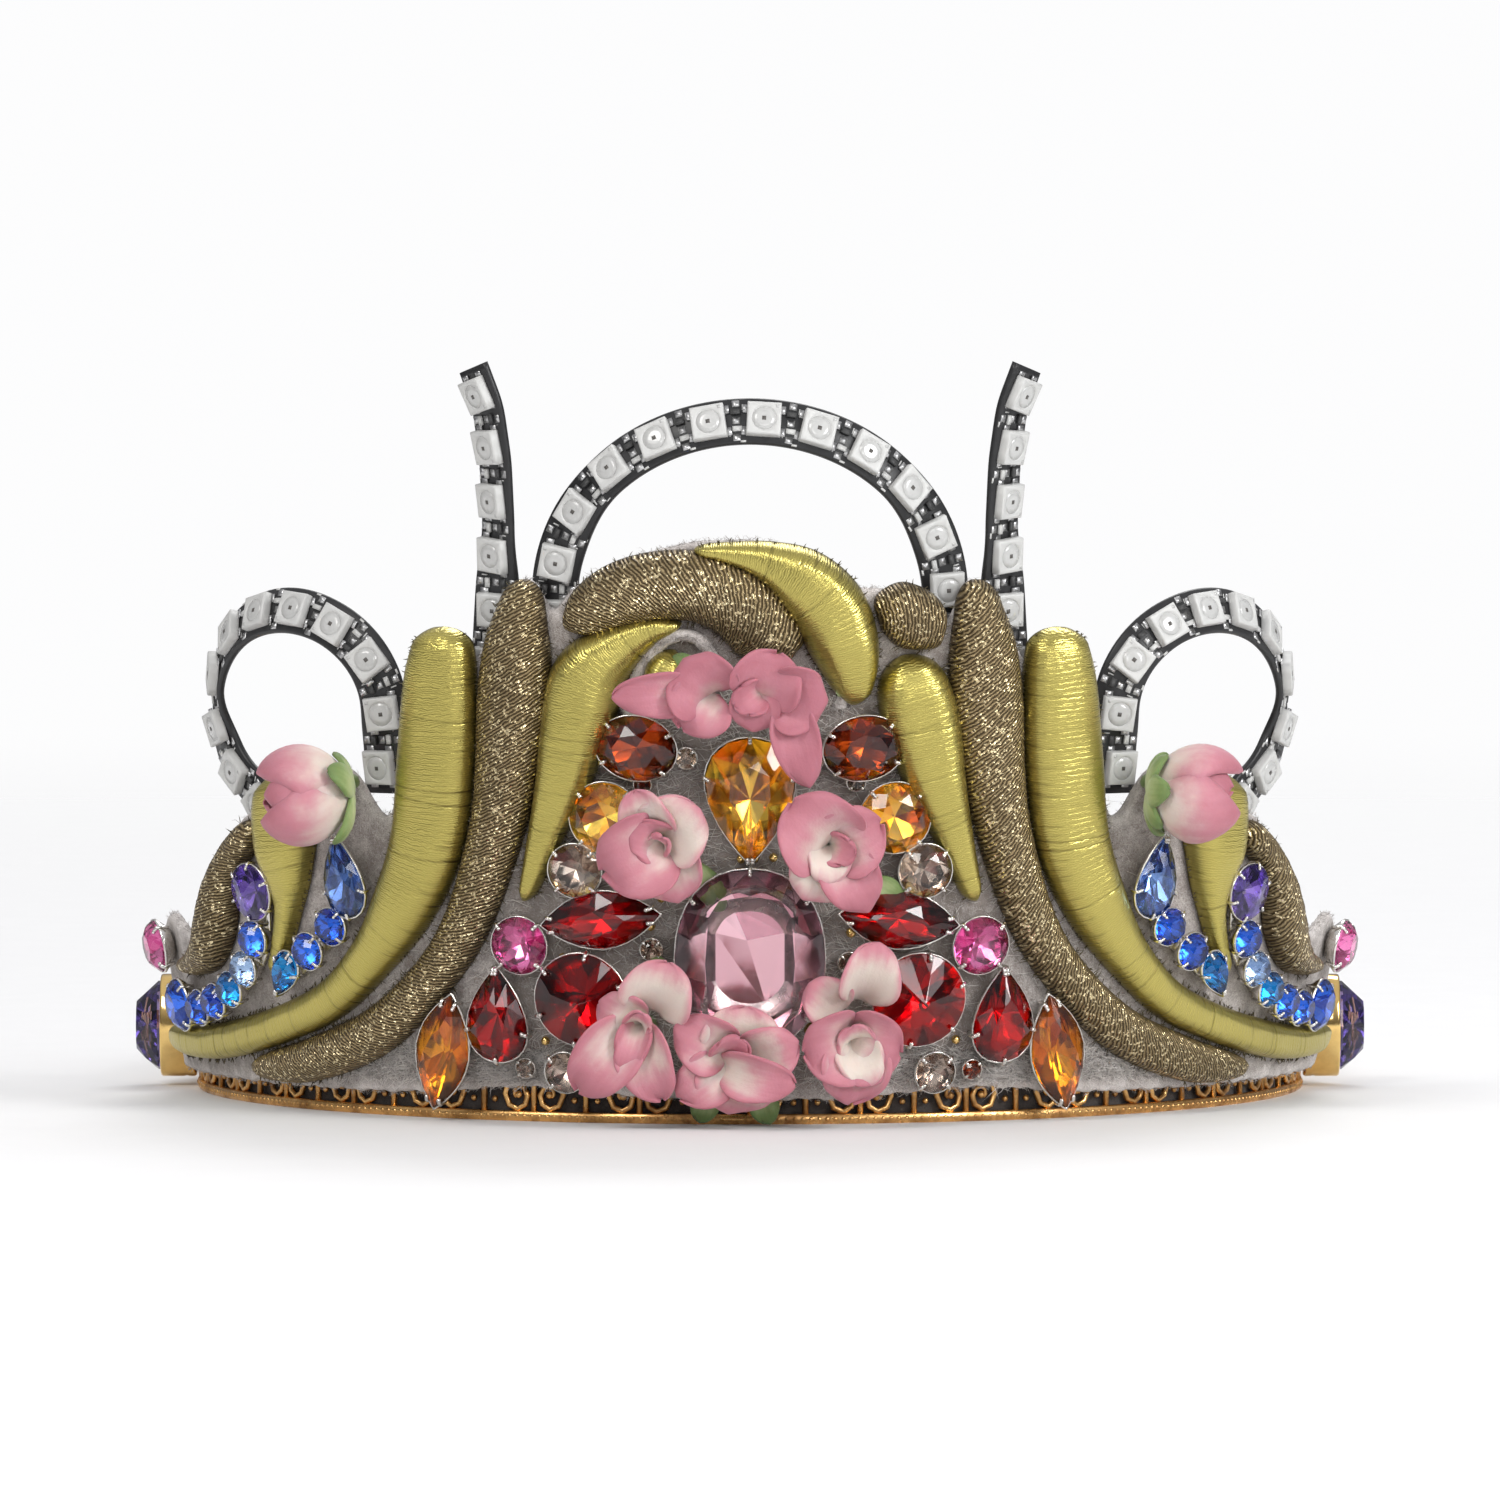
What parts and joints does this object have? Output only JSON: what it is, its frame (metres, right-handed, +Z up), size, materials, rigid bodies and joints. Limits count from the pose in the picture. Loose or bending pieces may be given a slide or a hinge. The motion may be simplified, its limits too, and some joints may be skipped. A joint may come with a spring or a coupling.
{
  "type": "tiara",
  "caption": "Open-backed tiara: pierced metal band, padded leaf crest on felt, cut stones in cups, flowers, and arches of black light strip.",
  "frame": {"origin": "front middle of the band's lower edge, in the middle of its wall", "axes": "+Z up through the crest, +Y from the front to the open back, +X toward the wearer's left"},
  "size_m": [0.1914, 0.1839, 0.1131],
  "materials": {
    "copper": "polished rose-gold plate over pierced metal",
    "gold": "polished yellow gold plate",
    "felt": "light grey felt",
    "gold_thread": "wound metallic foil thread, bright",
    "bronze_thread": "wound metallic thread, dark and glittery",
    "light_strip": "black flexible strip with white square light packages",
    "pink_glass": "cut and foiled",
    "amber_glass": "cut and foiled",
    "smoke_glass": "cut and foiled",
    "clear_glass": "cut and foiled",
    "red_glass": "cut and foiled",
    "fuchsia_glass": "cut and foiled",
    "blue_glass": "cut and foiled",
    "purple_glass": "cut and foiled",
    "petal": "soft matte pink petals"
  },
  "bodies": {
    "root": {"band": "copper", "lining": "felt", "backing": "felt", "bronze_column_left": "bronze_thread", "bronze_column_right": "bronze_thread", "bronze_edge_left": "bronze_thread", "bronze_edge_right": "bronze_thread", "bronze_scroll_top": "bronze_thread", "bronze_small_right": "bronze_thread", "gold_outer_left": "gold_thread", "gold_outer_right": "gold_thread", "gold_small_left": "gold_thread", "gold_small_right": "gold_thread", "gold_inner_left": "gold_thread", "gold_inner_right": "gold_thread", "gold_crescent_top": "gold_thread", "gold_tiny_left": "gold_thread", "strip_arch": "light_strip", "strip_horn_left": "light_strip", "strip_horn_right": "light_strip", "strip_loop_left": "light_strip", "strip_loop_right": "light_strip", "stone_pink": "pink_glass", "stone_amber_pear": "amber_glass", "stone_smoke_left": "smoke_glass", "stone_smoke_right": "smoke_glass", "stone_amber_left": "amber_glass", "stone_amber_right": "amber_glass", "stone_champagne_left": "clear_glass", "stone_champagne_right": "clear_glass", "stone_navette_left": "red_glass", "stone_navette_right": "red_glass", "stone_fuchsia_left": "fuchsia_glass", "stone_fuchsia_right": "fuchsia_glass", "stone_rivoli_left": "red_glass", "stone_rivoli_right": "red_glass", "stone_red_pear_left": "red_glass", "stone_red_pear_right": "red_glass", "stone_amber_navette_left": "amber_glass", "stone_amber_navette_right": "amber_glass", "stone_low_clear_left": "clear_glass", "stone_low_clear_right": "clear_glass", "stone_pink_side_left": "fuchsia_glass", "stone_pink_side_right": "fuchsia_glass", "stone_purple_left": "purple_glass", "stone_purple_right": "purple_glass", "spray_left": "blue_glass", "spray_right": "blue_glass", "row_left": "blue_glass", "row_right": "blue_glass", "collet_left": "gold", "collet_right": "gold", "rose_top": "petal", "rose_mid_left": "petal", "rose_mid_right": "petal", "rose_low_left": "petal", "rose_low_centre": "petal", "rose_low_right": "petal", "bud_left": "petal", "bud_right": "petal"}
  },
  "joints": []
}
